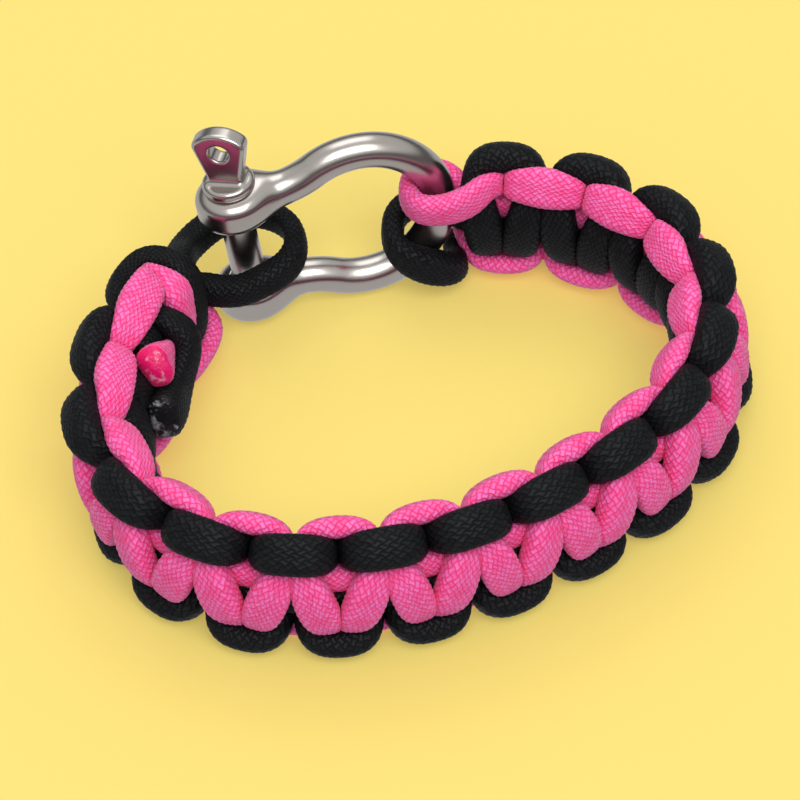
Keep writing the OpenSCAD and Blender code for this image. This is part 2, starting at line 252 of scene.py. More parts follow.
class CordSettings(bpy.types.PropertyGroup):
    """Size and braid of the two cords"""
    diameter: bpy.props.FloatProperty(
        name="Cord diameter", description="Diameter of the braided cord", default=4 * MM, unit="LENGTH")
    columns: bpy.props.IntProperty(
        name="Braid columns", description="Columns of floats round the cord, a multiple of four",
        default=16, min=8, max=24)
    pitch: bpy.props.FloatProperty(
        name="Braid pitch", description="Distance between two floats of one column",
        default=0.88 * MM, precision=5, unit="LENGTH")
    relief: bpy.props.FloatProperty(
        name="Braid relief", description="Height of a float over the gaps beside it",
        default=0.07 * MM, precision=5, unit="LENGTH")
    # The float colours are those of the floats' crowns, with a painted highlight in them; the gap
    # colours are painted shade between the floats
    pink: bpy.props.FloatVectorProperty(
        name="Pink", description="Colour of the pink floats", default=(0.95, 0.175, 0.51), size=3,
        subtype="COLOR")
    pink_gap_shade: bpy.props.FloatVectorProperty(
        name="Pink gaps", description="Colour between the pink floats", default=(0.96, 0.002, 0.14),
        size=3, subtype="COLOR")
    black: bpy.props.FloatVectorProperty(
        name="Black", description="Colour of the black floats", default=(0.0085, 0.0095, 0.011), size=3,
        subtype="COLOR")
    black_gap_shade: bpy.props.FloatVectorProperty(
        name="Black gaps", description="Colour between the black floats",
        default=(0.0008, 0.0008, 0.001), size=3, subtype="COLOR")


class ShackleSettings(bpy.types.PropertyGroup):
    """Size and finish of the shackle and its pin"""
    bar: bpy.props.FloatProperty(
        name="Bar diameter", description="Diameter of the bow's bar", default=4.2 * MM, unit="LENGTH")
    jaw: bpy.props.FloatProperty(
        name="Jaw", description="Clear width between the two ears", default=9.2 * MM, unit="LENGTH")
    bow_radius: bpy.props.FloatProperty(
        name="Bow radius", description="Radius of the bow, to the middle of its bar", default=9.3 * MM,
        unit="LENGTH")
    bow_reach: bpy.props.FloatProperty(
        name="Bow reach", description="From the pin's axis to the centre of the bow", default=14.3 * MM,
        unit="LENGTH")
    shoulder: bpy.props.FloatProperty(
        name="Shoulder radius", description="Radius of each shoulder, to the middle of the bar",
        default=12 * MM, unit="LENGTH")
    ear: bpy.props.FloatProperty(
        name="Ear diameter", description="Diameter of an ear", default=8.6 * MM, unit="LENGTH")
    ear_thick: bpy.props.FloatProperty(
        name="Ear thickness", description="Thickness of an ear", default=4.4 * MM, unit="LENGTH")
    pin: bpy.props.FloatProperty(
        name="Pin diameter", description="Diameter of the pin's shaft", default=4 * MM, unit="LENGTH")
    fillet: bpy.props.FloatProperty(
        name="Forged fillet", description="Blend between the bar and the ears", default=2.4 * MM,
        unit="LENGTH")
    steel: bpy.props.FloatVectorProperty(
        name="Steel", description="Colour of the polished steel", default=(0.51, 0.475, 0.44), size=3,
        subtype="COLOR")


class StageSettings(bpy.types.PropertyGroup):
    """Floor, light and camera"""
    floor: bpy.props.FloatVectorProperty(
        name="Floor", description="Colour of the floor", default=(0.525, 0.412, 0.109), size=3,
        subtype="COLOR")
    glow: bpy.props.FloatProperty(
        name="Floor glow", description="Light that comes up through the floor", default=0.7, min=0)
    key_power: bpy.props.FloatProperty(
        name="Key light", description="Power of the large light behind the bracelet", default=16,
        unit="POWER")
    fill_power: bpy.props.FloatProperty(
        name="Fill light", description="Power of the soft light in front", default=60, unit="POWER")
    sky: bpy.props.FloatProperty(
        name="Sky", description="Strength of the even light all round", default=1.0, min=0)
    elevation: bpy.props.FloatProperty(
        name="Camera elevation", description="Angle of the view above the floor",
        default=math.radians(48.3), subtype="ANGLE")
    distance: bpy.props.FloatProperty(
        name="Camera distance", description="From the camera to the bracelet's middle", default=0.8,
        unit="LENGTH")
    lens: bpy.props.FloatProperty(
        name="Lens", description="Focal length of the camera in millimetres", default=315, min=1)


# The line of the band and the places beside it, in millimetres

def unit(v):
    return v / np.linalg.norm(v, axis=-1, keepdims=True)


def band_row(i):
    """Row of the band's table, carried on past both ends"""
    last = len(BAND) - 1
    if i < 0:
        return 2 * BAND[0] - BAND[1]
    if i > last:
        return 2 * BAND[last] - BAND[last - 1]
    return BAND[i]


def band_run(along):
    """Heading, slack and twist of the band"""
    x = min(max(along / HALF_KNOTS, 0), 1) * (len(BAND) - 1)
    i = min(int(x), len(BAND) - 2)
    a, b, c, d = (band_row(k) for k in range(i - 1, i + 3))
    f = x - i
    return (2 * b + (c - a) * f + (2 * a - 5 * b + 4 * c - d) * f ** 2
            + (3 * b - a - 3 * c + d) * f ** 3) / 2


class Band:
    """The band's centre line and its own directions"""

    def __init__(self, diameter, crown):
        self.diameter = diameter
        self.half_len = KNOT_LENGTH * diameter
        marks = [np.zeros(2)]
        for i in range(2 * HALF_KNOTS):
            marks.append(marks[-1] + self.step(i / 2 + 0.25) / 2)
        self.marks = np.array(marks) + crown[:2] + BAND_END * diameter / 4 - marks[-1]

    def step(self, along):
        """The way over one half knot"""
        heading, slack, _ = band_run(along)
        h = math.radians(heading)
        return self.half_len * slack * np.array([math.cos(h), math.sin(h)])

    def centre(self, along):
        """Point of the centre line, which runs straight on past both ends"""
        if along <= 0:
            return self.marks[0] + self.step(0) * along
        if along >= HALF_KNOTS:
            return self.marks[-1] + self.step(HALF_KNOTS) * (along - HALF_KNOTS)
        i = int(2 * along)
        f = 2 * along - i
        return self.marks[i] * (1 - f) + self.marks[i + 1] * f

    def ways(self, along):
        """The band's up and out directions"""
        heading, _, twist = band_run(along)
        h, t = math.radians(heading), math.radians(twist)
        flat = np.array([math.sin(h), -math.cos(h), 0])
        up = np.array([0, 0, math.cos(t)]) + math.sin(t) * flat
        out = math.cos(t) * flat - np.array([0, 0, math.sin(t)])
        return up, out

    def place(self, along, across, outward):
        """Point beside the centre line"""
        twist = math.radians(band_run(along)[2])
        height = self.diameter * (CENTRE_HEIGHT * math.cos(twist) + LEAN_HEIGHT * abs(math.sin(twist)))
        up, out = self.ways(along)
        return np.array([*self.centre(along), height]) + up * across + out * outward

    def station(self, row):
        """Place, short axis and half sizes of a cord's section"""
        along, across, outward, side, thick, lean = row
        up, out = self.ways(along)
        lean = math.radians(lean)
        near = 0.1
        ahead = self.place(along + near, across, outward) - self.place(along - near, across, outward)
        crowding = min(1, np.linalg.norm(ahead) / (2 * near * self.half_len))
        return (self.place(along, across, outward), math.sin(lean) * up + math.cos(lean) * out,
                side * crowding, thick)

    def beside(self, rows, swell=0.0):
        """Stations of a free part, swollen by a share of the way to the full cord"""
        s = self.diameter / 4
        full = LOOSE_HALF * self.diameter
        stations = []
        for along, across, outward, side, thick, lean in rows:
            side, thick = (h * s + swell * (full - h * s) for h in (side, thick))
            stations.append(self.station([along, across * s, outward * s, side, thick, lean]))
        return stations

    def core(self, start, stop, across):
        """Stations of a core strand, one in each half knot"""
        rows = [[u, across, 0, CORE_HALF, CORE_HALF, 90] for u in np.arange(start, stop + 1e-6)]
        return self.beside(rows)

    def stitch(self, knot, end, edge, strand, r):
        """Station of a strand in a half knot, from a row of its table"""
        d = self.diameter
        return self.station([knot + 0.5 + end * r[0], strand * edge * r[1] * d, strand * r[2] * d,
                             r[3] * d, r[4] * d, edge * r[5]])

    def half_knot(self, knot, strand):
        """Stations from the bight on one edge to near the bight on the other"""
        edge = 1 if knot % 2 else -1
        rows = STITCH[strand]
        return ([self.stitch(knot, 1, edge, strand, r) for r in rows[::-1]]
                + [self.stitch(knot, -1, -edge, strand, r) for r in rows[:-1]])

    def weave(self, first, last, strand):
        """Stations of the half knots from the first down to the last"""
        return [s for k in range(first, last - 1, -1) for s in self.half_knot(k, strand)]


def turned(v):
    """A direction given in the shackle's own axes, turned and leant as the shackle is"""
    left, back, turn = (math.radians(a) for a in (LEAN_LEFT, LEAN_BACK, SHACKLE_TURN))
    v = np.asarray(v, float)
    x1 = v[..., 0] * math.cos(left) - v[..., 2] * math.sin(left)
    z1 = v[..., 0] * math.sin(left) + v[..., 2] * math.cos(left)
    y2 = v[..., 1] * math.cos(back) + z1 * math.sin(back)
    z2 = z1 * math.cos(back) - v[..., 1] * math.sin(back)
    x3 = x1 * math.cos(turn) - y2 * math.sin(turn)
    y3 = x1 * math.sin(turn) + y2 * math.cos(turn)
    return np.stack([x3, y3, z2], axis=-1)


def round_pin(rows, s):
    """Stations of the loop round the pin"""
    up = turned([0, 0, 1])
    return [(PIN_PLACE + turned(np.array(r[:3])), up, r[3] * s, r[4] * s) for r in rows]


def cord_routes(diameter, crown):
    """Stations of the black and the pink cord"""
    band = Band(diameter, crown)
    last = HALF_KNOTS - 1
    black = [
        *band.beside(BLACK_JOINT, swell=0.3),
        *round_pin(PIN_LOOP, diameter / 4),
        *band.beside(BLACK_LEG, swell=0.3),
        *band.core(1, last, -CORE_Y),
        *band.beside(BLACK_BOW, swell=0.2),
        *band.weave(last, 2, -1)[1:],
        band.stitch(1, 1, 1, -1, STITCH[-1][-1]),
        *band.beside(BLACK_TURN, swell=0.1),
    ]
    pink = [
        *band.core(1.5, HALF_KNOTS - 0.8, CORE_Y),
        *band.beside(PINK_BOW, swell=0.1),
        *band.weave(last, 0, 1)[2:-1],
        *band.beside(PINK_TAIL, swell=0.1),
    ]
    return black, pink


def origin():
    """The part's origin beside the band, from the place of the eye in the thumb tab"""
    eye = next(m for m in frame["record"]["mounts"] if m["name"] == "pin_eye")
    return (PIN_PLACE + turned([0, 0, EYE_UP]) - np.array(eye["pos_m"]) / MM) * [1, 1, 0]


# A cord as a soft tube: a smooth line, a full section, and what presses it flat

def smooth_columns(points, columns, spacing):
    """A curve through the points, and the columns along it, in even steps"""
    parts = 20
    root = np.sqrt(np.linalg.norm(np.diff(points, axis=0), axis=1))
    knot = np.concatenate([[0], np.cumsum(root)])
    data = np.hstack([points, columns])
    chord = np.diff(data, axis=0) / root[:, None]
    slope = np.vstack([chord[:1], np.zeros_like(data[2:]), chord[-1:]])
    wide = (data[2:] - data[:-2]) / (knot[2:] - knot[:-2])[:, None]
    slope[1:-1] = chord[:-1] + chord[1:] - wide
    f = np.linspace(0, 1, parts, endpoint=False)[None, :, None]
    h = root[:, None, None]
    a, b, ma, mb = data[:-1, None], data[1:, None], slope[:-1, None], slope[1:, None]
    dense = ((2 * f ** 3 - 3 * f ** 2 + 1) * a + (f ** 3 - 2 * f ** 2 + f) * h * ma
             + (3 * f ** 2 - 2 * f ** 3) * b + (f ** 3 - f ** 2) * h * mb)
    dense = np.vstack([dense.reshape(-1, data.shape[1]), data[-1:]])
    length = np.concatenate([[0], np.cumsum(np.linalg.norm(np.diff(dense[:, :3], axis=0), axis=1))])
    marks = np.linspace(0, length[-1], int(round(length[-1] / spacing)) + 1)
    return np.stack([np.interp(marks, length, c) for c in dense.T], axis=1)


def soften(field, passes, around=False):
    """Evens out a table row by row, and round its columns too"""
    for _ in range(passes):
        ends = np.vstack([2 * field[:1] - field[1:2], field, 2 * field[-1:] - field[-2:-1]])
        field = ends[:-2] / 4 + ends[1:-1] / 2 + ends[2:] / 4
        if around:
            field = np.roll(field, 1, 1) / 4 + field / 2 + np.roll(field, -1, 1) / 4
    return field


class Line:
    """Smooth centre line of a cord with its sections, in millimetres"""

    def __init__(self, route, cord):
        spacing = cord.pitch / MM / 2
        place = np.array([s[0] for s in route]) - origin()
        columns = np.hstack([np.array([s[1] for s in route]), np.array([s[2:] for s in route])])
        data = soften(smooth_columns(place, columns, spacing), passes=6)
        self.place = data[:, :3]
        self.ahead = unit(np.gradient(self.place, axis=0))
        step = np.linalg.norm(np.gradient(self.place, axis=0), axis=1)
        self.bend = np.gradient(self.ahead, axis=0) / step[:, None]
        short = data[:, 3:6]
        self.short = unit(short - (short * self.ahead).sum(1)[:, None] * self.ahead)
        self.side = np.cross(self.ahead, self.short)
        self.half = data[:, 6:8]
        parts = np.linalg.norm(np.diff(self.place, axis=0), axis=1)
        self.length = np.concatenate([[0], np.cumsum(parts)])
        self.axes = [(self.ahead, np.full(len(data), CORD_DEPTH)), (self.side, self.half[:, 0]),
                     (self.short, self.half[:, 1])]
        self.carry_directions()

    def carry_directions(self):
        """Directions across the line that don't turn about it"""
        across = np.zeros_like(self.place)
        v = self.short[0]
        for i, t in enumerate(self.ahead):
            v = v - t * float(v @ t)
            v = v / math.sqrt(float(v @ v))
            across[i] = v
        self.across = across
        self.upright = np.cross(self.ahead, across)

    def rays(self, count):
        """Directions from the line to its skin, and the free half size along each"""
        turn = np.arange(count) * 2 * math.pi / count
        cosine, sine = np.cos(turn)[:, None], np.sin(turn)[:, None]
        rays = self.across[:, None] * cosine + self.upright[:, None] * sine
        w = np.abs((rays * self.side[:, None]).sum(2)) / self.half[:, :1]
        n = np.abs((rays * self.short[:, None]).sum(2)) / self.half[:, 1:]
        return rays, (w ** SECTION_POWER + n ** SECTION_POWER) ** (-1 / SECTION_POWER)


def first_root(a, b, c):
    """Smallest positive x with a x^2 + 2 b x + c = 0, or a large number"""
    a = np.where(np.abs(a) < 1e-9, 1e-9, a)
    inside = b * b - a * c
    root = np.sqrt(np.maximum(inside, 0))
    one, two = (-b - root) / a, (-b + root) / a
    far = 1e6
    real = inside >= 0
    return np.minimum(np.where((one > 0) & real, one, far), np.where((two > 0) & real, two, far))


def pressed(line, lines, bars, count):
    """Rays of a cord, its free size along each, and the share of it that strands, steel, floor
    and bends leave"""
    rays, free = line.rays(count)
    reach = np.empty_like(free)
    for i, (x, r, ray) in enumerate(zip(line.place, free, rays)):
        limit = np.minimum(r, BEND_SHARE / np.maximum(ray @ line.bend[i], 1e-6))
        down = np.minimum(ray[:, 2], -1e-6)
        limit = np.minimum(limit, np.maximum(FLOOR_GAP - x[2], -FLOOR_REACH) / down)
        for other in lines + bars:
            o = x - other.place
            pick = (np.abs(o) < NEAR).all(1)
            if other is line:
                pick &= np.abs(other.length - line.length[i]) > SAME_STRAND
            if not pick.any():
                continue
            a = b = c = 0
            for axis, half in other.axes:
                way = axis[pick] / half[pick, None]
                along = ray @ way.T
                start = (o[pick] * way).sum(1)
                a, b, c = a + along ** 2, b + along * start, c + start ** 2
            # A bar stops the skin at its own, and a strand stops it where both are squeezed alike
            if other in bars:
                c = c - 1
            else:
                a = a - 1 / r[:, None] ** 2
            limit = np.minimum(limit, first_root(a, b, c).min(1))
        reach[i] = limit
    share = np.clip(reach / free, LEAST_SHARE, 1)
    share = np.minimum(soften(share, passes=3, around=True), share)
    return rays, free, share


class Bar:
    """A line of round steel that a cord can't enter"""

    def __init__(self, place, radius):
        self.place = place
        ahead = unit(np.gradient(place, axis=0))
        side = unit(np.cross(ahead, turned([0, 1, 0])))
        depth, size = np.full(len(place), BAR_DEPTH), np.full(len(place), radius)
        self.axes = [(ahead, depth), (side, size), (np.cross(ahead, side), size)]


def arc_points(middle, radius, start, stop, spacing):
    """Points of an arc in the shackle's plane, from its angles in degrees"""
    turn = np.radians(np.arange(start, stop, math.degrees(spacing / radius)))
    x, z = middle[0] + radius * np.cos(turn), middle[1] + radius * np.sin(turn)
    return np.stack([x, np.zeros_like(x), z], axis=1)


def cord_lines():
    """Both centre lines, and the shackle's bow that they pass round with a little air"""
    half_turn, spacing = 125, 0.4
    cord = bpy.context.scene.bracelet_cord
    steel = bpy.context.scene.bracelet_shackle
    crown = PIN_PLACE + turned([(steel.bow_reach + steel.bow_radius) / MM, 0, 0])
    lines = [Line(route, cord) for route in cord_routes(cord.diameter / MM, crown)]
    bow = arc_points([steel.bow_reach / MM, 0], steel.bow_radius / MM, -half_turn, half_turn, spacing)
    place = PIN_PLACE + turned(bow) - origin()
    return lines, [Bar(place, steel.bar / MM / 2 + BAR_GAP)]


def new_object(name, vertices, faces):
    """Smooth mesh in the scene"""
    mesh = bpy.data.meshes.new(name)
    mesh.from_pydata(vertices.tolist(), [], faces.tolist())
    mesh.polygons.foreach_set("use_smooth", [True] * len(mesh.polygons))
    mesh.update()
    piece = bpy.data.objects.new(name, mesh)
    bpy.context.scene.collection.objects.link(piece)
    return piece


def cord_skin(line, rays, free, share, relief, seed):
    """Skin of a cord, ring by ring, and how melted each ring is"""
    melt_length, dome_length, lump = 1.3, 1.1, 0.16
    crown, unevenness, gap = 0.45, 0.1, -0.55
    thinnest, lowest = 0.02, 0.01
    rows, count = free.shape
    k, n = np.meshgrid(np.arange(rows), np.arange(count), indexing="ij")
    chance = np.random.default_rng(seed).standard_normal(k.shape)
    raised = np.where((n - k) % 2 == 1, crown + unevenness * chance, gap)
    run = line.length[:, None]
    left = line.length[-1] - run

    # Pressed places are smoother and sink in a little
    loose = np.clip((share - 0.8) / 0.2, 0, 1)
    sunk = 0.05 * (1 - loose)
    singed = np.clip(1.25 - left / melt_length, 0, 1)
    height = relief * raised * (0.3 + 0.7 * loose) * (1 - singed)
    wobble = 1 + 0.012 * np.sin(run / 5.3) + 0.01 * np.sin(run / 1.9 + 1)
    lumps = (lump * singed * np.sin(3 * n * 2 * math.pi / count + 2.1 * left)
             * np.sin(2.4 * left + n * 0.8))
    radius = free * share * wobble - sunk + height + lumps
    for distance in (left, run):
        dome = np.clip(1 - distance / dome_length, 0, 1)
        radius = radius * (1 - dome ** 2.6) ** (1 / 2.2)
    skin = line.place[:, None] + rays * np.maximum(radius, thinnest)[:, :, None]
    skin[:, :, 2] = np.maximum(skin[:, :, 2], lowest)
    return skin, singed


def braid_faces(rows, count):
    """Row and column of each triangle's corners: squares parted along the gaps between floats,
    and a fan at each end to a tip in the row beyond"""
    k, n = np.meshgrid(np.arange(rows - 1), np.arange(count), indexing="ij")
    a, b, c, d = (np.stack([k + i, n + j], axis=-1) for i, j in ((0, 0), (0, 1), (1, 1), (1, 0)))
    forward = ((n - k) % 2 == 0)[:, :, None, None]
    first = np.where(forward, np.stack([a, c, d], axis=2), np.stack([a, b, d], axis=2))
    second = np.where(forward, np.stack([a, b, c], axis=2), np.stack([b, c, d], axis=2))
    ring = np.arange(count)
    fans = []
    for row, tip in ((0, -1), (rows - 1, rows)):
        corners = [(row, ring), (row, ring + 1), (tip, ring)]
        fan = [np.column_stack([np.full(count, r), column]) for r, column in corners]
        fans.append(np.stack(fan, axis=1))
    squares = [first.reshape(-1, 3, 2), second.reshape(-1, 3, 2)]
    return np.concatenate([*squares, fans[0][:, ::-1], fans[1]])


def braided_cord(name, which):
    """A cord's skin, with each float of its braid raised and a singed stub at its free end"""
    cord = bpy.context.scene.bracelet_cord
    lines, bars = cord_lines()
    line = lines[which]
    rays, free, share = pressed(line, lines, bars, 2 * cord.columns)
    skin, singed = cord_skin(line, rays, free, share, cord.relief / MM, seed=5 + which)
    rows, count = free.shape
    vertices = np.vstack([skin.reshape(-1, 3), line.place[:1], line.place[-1:]]) * MM
    faces = braid_faces(rows, count)
    row, column = faces[:, :, 0], faces[:, :, 1]
    start_tip, end_tip = rows * count, rows * count + 1
    index = np.where(row == rows, end_tip, row * count + column % count)
    index = np.where(row < 0, start_tip, index)
    piece = new_object(name, vertices, index[:, ::-1])
    uv = np.stack([column / 2, np.clip(row, 0, rows - 1) / 2], axis=-1)[:, ::-1]
    layer = piece.data.uv_layers.new(name="braid")
    layer.data.foreach_set("uv", uv.reshape(-1).astype(np.float32))
    mark = piece.data.attributes.new("singed", "FLOAT", "POINT")
    melt = np.concatenate([np.broadcast_to(singed, (rows, count)).reshape(-1), [0, 1]])
    mark.data.foreach_set("value", melt.astype(np.float32))
    return piece


# Smooth steel: a mesh drawn onto a formula that gives the distance to the metal's skin

def blend_in(a, b, k):
    """Union of two shapes with a fillet"""
    h = np.clip(0.5 + 0.5 * (b - a) / k, 0, 1)
    return b + (a - b) * h - k * h * (1 - h)


def cut_out(a, b, k):
    """What two shapes share, with a rounded edge"""
    return -blend_in(-a, -b, k)


def disc(p, height, radius, thick, rim):
    """Distance to a disc with a rounded rim, square to the pin"""
    r = np.hypot(p[:, 0], p[:, 1]) - radius + rim
    h = np.abs(p[:, 2] - height) - thick / 2 + rim
    return np.hypot(np.maximum(r, 0), np.maximum(h, 0)) + np.minimum(np.maximum(r, h), 0) - rim


def bar_arc(p, middle, radius, start, stop, bar):
    """Distance to an arc of round bar in the shackle's plane"""
    x, z = p[:, 0] - middle[0], p[:, 2] - middle[1]
    mean, span = math.radians((start + stop) / 2), math.radians((stop - start) / 2)
    turn = (np.arctan2(z, x) - mean + math.pi) % (2 * math.pi) - math.pi
    turn = np.clip(turn, -span, span) + mean
    dx, dz = x - radius * np.cos(turn), z - radius * np.sin(turn)
    return np.sqrt(dx ** 2 + dz ** 2 + p[:, 1] ** 2) - bar / 2


def bow_shape(p):
    """Distance to the bow: neck, shoulders and arc of round bar blended into two drilled ears"""
    ear_rim, clearance, hole_edge = 1.5, 0.06, 0.4
    s = bpy.context.scene.bracelet_shackle
    bar, jaw, ear, thick = s.bar / MM, s.jaw / MM, s.ear / MM, s.ear_thick / MM
    radius, reach, shoulder = s.bow_radius / MM, s.bow_reach / MM, s.shoulder / MM
    high = (jaw + thick) / 2
    rise = high + shoulder
    neck = reach - math.sqrt((shoulder + radius) ** 2 - rise ** 2)
    join = math.degrees(math.atan2(rise, neck - reach))
    skin = bar_arc(p, [reach, 0], radius, -join, join, bar)
    for side in (-1, 1):
        ends = (-90, join - 180) if side > 0 else (180 - join, 90)
        skin = np.minimum(skin, bar_arc(p, [neck, side * rise], shoulder, *ends, bar))
        along = np.clip(p[:, 0], 0, neck)
        away = (p[:, 0] - along) ** 2 + p[:, 1] ** 2 + (p[:, 2] - side * high) ** 2
        skin = np.minimum(skin, np.sqrt(away) - bar / 2)
    for side in (-1, 1):
        skin = blend_in(skin, disc(p, side * high, ear / 2, thick, ear_rim), s.fillet / MM)
    bore = s.pin / MM / 2 + clearance
    return cut_out(skin, bore - np.hypot(p[:, 0], p[:, 1]), hole_edge)


def pin_shape(p):
    """Distance to the screw pin: shaft, collar and a flared thumb tab with an eye"""
    s = bpy.context.scene.bracelet_shackle
    top = s.jaw / MM / 2 + s.ear_thick / MM
    clearance, sunk = 0.06, 0.3
    shaft_up, shaft_rim = 0.3, 0.35
    collar_r, collar_t, collar_rim = 3.1, 1.4, 0.55
    foot_w, tab_w, tab_h, tab_t, top_r = 3.8, 6.6, 7.2, 2.2, 4.2
    eye_up, eye_r = 4.5, 1.2
    collar_blend, foot_blend = 0.3, 0.9
    side_edge, top_edge, face_edge, eye_edge = 0.2, 0.4, 0.5, 0.3
    seat = top + clearance
    foot = seat + collar_t
    shaft = disc(p, shaft_up, s.pin / MM / 2, 2 * top, shaft_rim)
    collar = disc(p, seat + collar_t / 2, collar_r, collar_t, collar_rim)
    skin = blend_in(shaft, collar, collar_blend)
    turn = math.radians(TAB_TURN)
    x = p[:, 0] * math.cos(turn) - p[:, 1] * math.sin(turn)
    y = p[:, 0] * math.sin(turn) + p[:, 1] * math.cos(turn)
    z = p[:, 2] - foot
    corner = tab_h - top_r + math.sqrt(top_r ** 2 - (tab_w / 2) ** 2)
    spread = math.atan2((tab_w - foot_w) / 2, corner)
    side = (np.abs(x) - foot_w / 2) * math.cos(spread) - z * math.sin(spread)
    side = cut_out(side, np.abs(x) - tab_w / 2, side_edge)
    outline = cut_out(side, np.hypot(x, z - tab_h + top_r) - top_r, top_edge)
    outline = np.where(z < tab_h - top_r, side, outline)
    outline = np.maximum(outline, -sunk - z)
    tab = cut_out(outline, np.abs(y) - tab_t / 2, face_edge)
    tab = cut_out(tab, eye_r - np.hypot(x, z - eye_up), eye_edge)
    return blend_in(skin, tab, foot_blend)


def drawn_onto(points, edges, shape):
    """Spreads a mesh's points evenly and draws them onto a shape's skin"""
    rounds, spreading, draws, step, flattest = 10, 8, 2, 0.01, 0.2
    degree = np.bincount(edges.reshape(-1), minlength=len(points))[:, None]
    for turn in range(rounds):
        if turn < spreading:
            total = np.zeros_like(points)
            np.add.at(total, edges[:, 0], points[edges[:, 1]])
            np.add.at(total, edges[:, 1], points[edges[:, 0]])
            points = points / 2 + total / np.maximum(degree, 1) / 2
        for _ in range(draws):
            rise = [shape(points + step * a) - shape(points - step * a) for a in np.eye(3)]
            slope = np.stack(rise, axis=1) / (2 * step)
            steep = np.maximum((slope ** 2).sum(1), flattest)
            points = points - shape(points)[:, None] * slope / steep[:, None]
    return points


def steel_piece(name, node, shape, voxel):
    """Even mesh in the place of a CAD node, drawn onto the shape's smooth skin"""
    piece = bpy.data.objects.new(name, frame["nodes"][node].data.copy())
    piece.data.materials.clear()
    bpy.context.scene.collection.objects.link(piece)
    remesh = piece.modifiers.new("even", "REMESH")
    remesh.mode = "VOXEL"
    remesh.voxel_size = voxel * MM
    graph = bpy.context.evaluated_depsgraph_get()
    piece.data = bpy.data.meshes.new_from_object(piece.evaluated_get(graph))
    piece.modifiers.clear()
    mesh = piece.data
    mesh.name = name
    points = np.zeros(len(mesh.vertices) * 3)
    mesh.vertices.foreach_get("co", points)
    edges = np.zeros(len(mesh.edges) * 2, int)
    mesh.edges.foreach_get("vertices", edges)
    axes = turned(np.eye(3))
    pin_middle = PIN_PLACE - origin()
    points = (points.reshape(-1, 3) / MM - pin_middle) @ axes.T
    points = drawn_onto(points, edges.reshape(-1, 2), shape) @ axes + pin_middle
    mesh.vertices.foreach_set("co", (points * MM).reshape(-1))
    mesh.polygons.foreach_set("use_smooth", [True] * len(mesh.polygons))
    mesh.update()
    return piece


# Shader maths as ordinary arithmetic

class Number:
    """A number that changes over a surface"""

    def __init__(self, nodes, socket):
        self.nodes = nodes
        self.socket = socket

    def math(self, operation, *others):
        return self.nodes.math(operation, self, *others)

    def __add__(self, other):
        return self.math("ADD", other)

    def __radd__(self, other):
        return self.nodes.math("ADD", other, self)

    def __sub__(self, other):
        return self.math("SUBTRACT", other)

    def __rsub__(self, other):
        return self.nodes.math("SUBTRACT", other, self)

    def __mul__(self, other):
        return self.math("MULTIPLY", other)

    def __rmul__(self, other):
        return self.nodes.math("MULTIPLY", other, self)

    def __pow__(self, other):
        return self.math("POWER", other)

    def __mod__(self, other):
        return self.math("FLOORED_MODULO", other)

    def __lt__(self, other):
        return self.math("LESS_THAN", other)

    def __abs__(self):
        return self.math("ABSOLUTE")

    def __floor__(self):
        return self.math("FLOOR")

    def sine(self):
        return self.math("SINE")

    def cosine(self):
        return self.math("COSINE")

    def clamped(self):
        return self.math("MINIMUM", 1).math("MAXIMUM", 0)

    def stepped(self):
        """0 below zero and 1 above it, over a short ramp"""
        return (self * 4 + 0.5).clamped()


class Nodes:
    """Adds nodes to the tree of a material or a world"""

    def __init__(self, tree):
        self.tree = tree

    def node(self, kind, settings=None, **values):
        """Adds a node: its settings first, then the values or links of its sockets, each by its
        name or by an underscore and its number"""
        node = self.tree.nodes.new(kind)
        for name, value in (settings or {}).items():
            if name == "stops":
                self.set_stops(node.color_ramp.elements, value)
            else:
                setattr(node, name, value)
        for name, value in values.items():
            self.feed(node.inputs[int(name[1:])] if name[1:].isdigit() else node.inputs[name], value)
        return node

    def set_stops(self, elements, stops):
        """Sets a ramp's stops from rows of position and grey"""
        while len(elements) < len(stops):
            elements.new(0.5)
        for element, (position, grey) in zip(elements, stops):
            element.position = position
            element.color = (grey, grey, grey, 1)

    def feed(self, socket, value):
        """Sets a socket's value, or links it"""
        if isinstance(value, Number):
            value = value.socket
        if isinstance(value, bpy.types.NodeSocket):
            self.tree.links.new(value, socket)
        else:
            socket.default_value = value

    def number(self, socket):
        return Number(self, socket)

    def math(self, operation, *values):
        sockets = {f"_{i}": v for i, v in enumerate(values)}
        return self.number(self.node("ShaderNodeMath", {"operation": operation}, **sockets).outputs[0])

    def mix(self, factor, a, b):
        """Colour a where the factor is 0, and b where it is 1"""
        return self.node("ShaderNodeMix", {"data_type": "RGBA"}, _0=factor, _6=a, _7=b).outputs[2]

    def noise(self, vector, scale, detail=2.0, roughness=0.5):
        node = self.node("ShaderNodeTexNoise", None, Vector=vector, Scale=scale, Detail=detail,
                         Roughness=roughness)
        return self.number(node.outputs["Fac"])

    def vector(self, x, y, z):
        return self.node("ShaderNodeCombineXYZ", None, X=x, Y=y, Z=z).outputs[0]

    def place(self):
        """Place on the piece itself"""
        return self.node("ShaderNodeTexCoord").outputs["Object"]

    def bump(self, strength, distance, height):
        node = self.node("ShaderNodeBump", None, Strength=strength, Distance=distance, Height=height)
        return node.outputs[0]


class Finish(Nodes):
    """A material, and the nodes that feed its shader"""

    def __init__(self, name):
        self.material = bpy.data.materials.new(name)
        self.material.use_nodes = True
        super().__init__(self.material.node_tree)
        self.shader = next(n for n in self.tree.nodes if n.type == "BSDF_PRINCIPLED")

    def set(self, **values):
        """Sets the shader's own sockets, with spaces for underscores"""
        for name, value in values.items():
            self.feed(self.shader.inputs[name.replace("_", " ")], value)


def rgba(colour):
    return (*colour, 1.0)


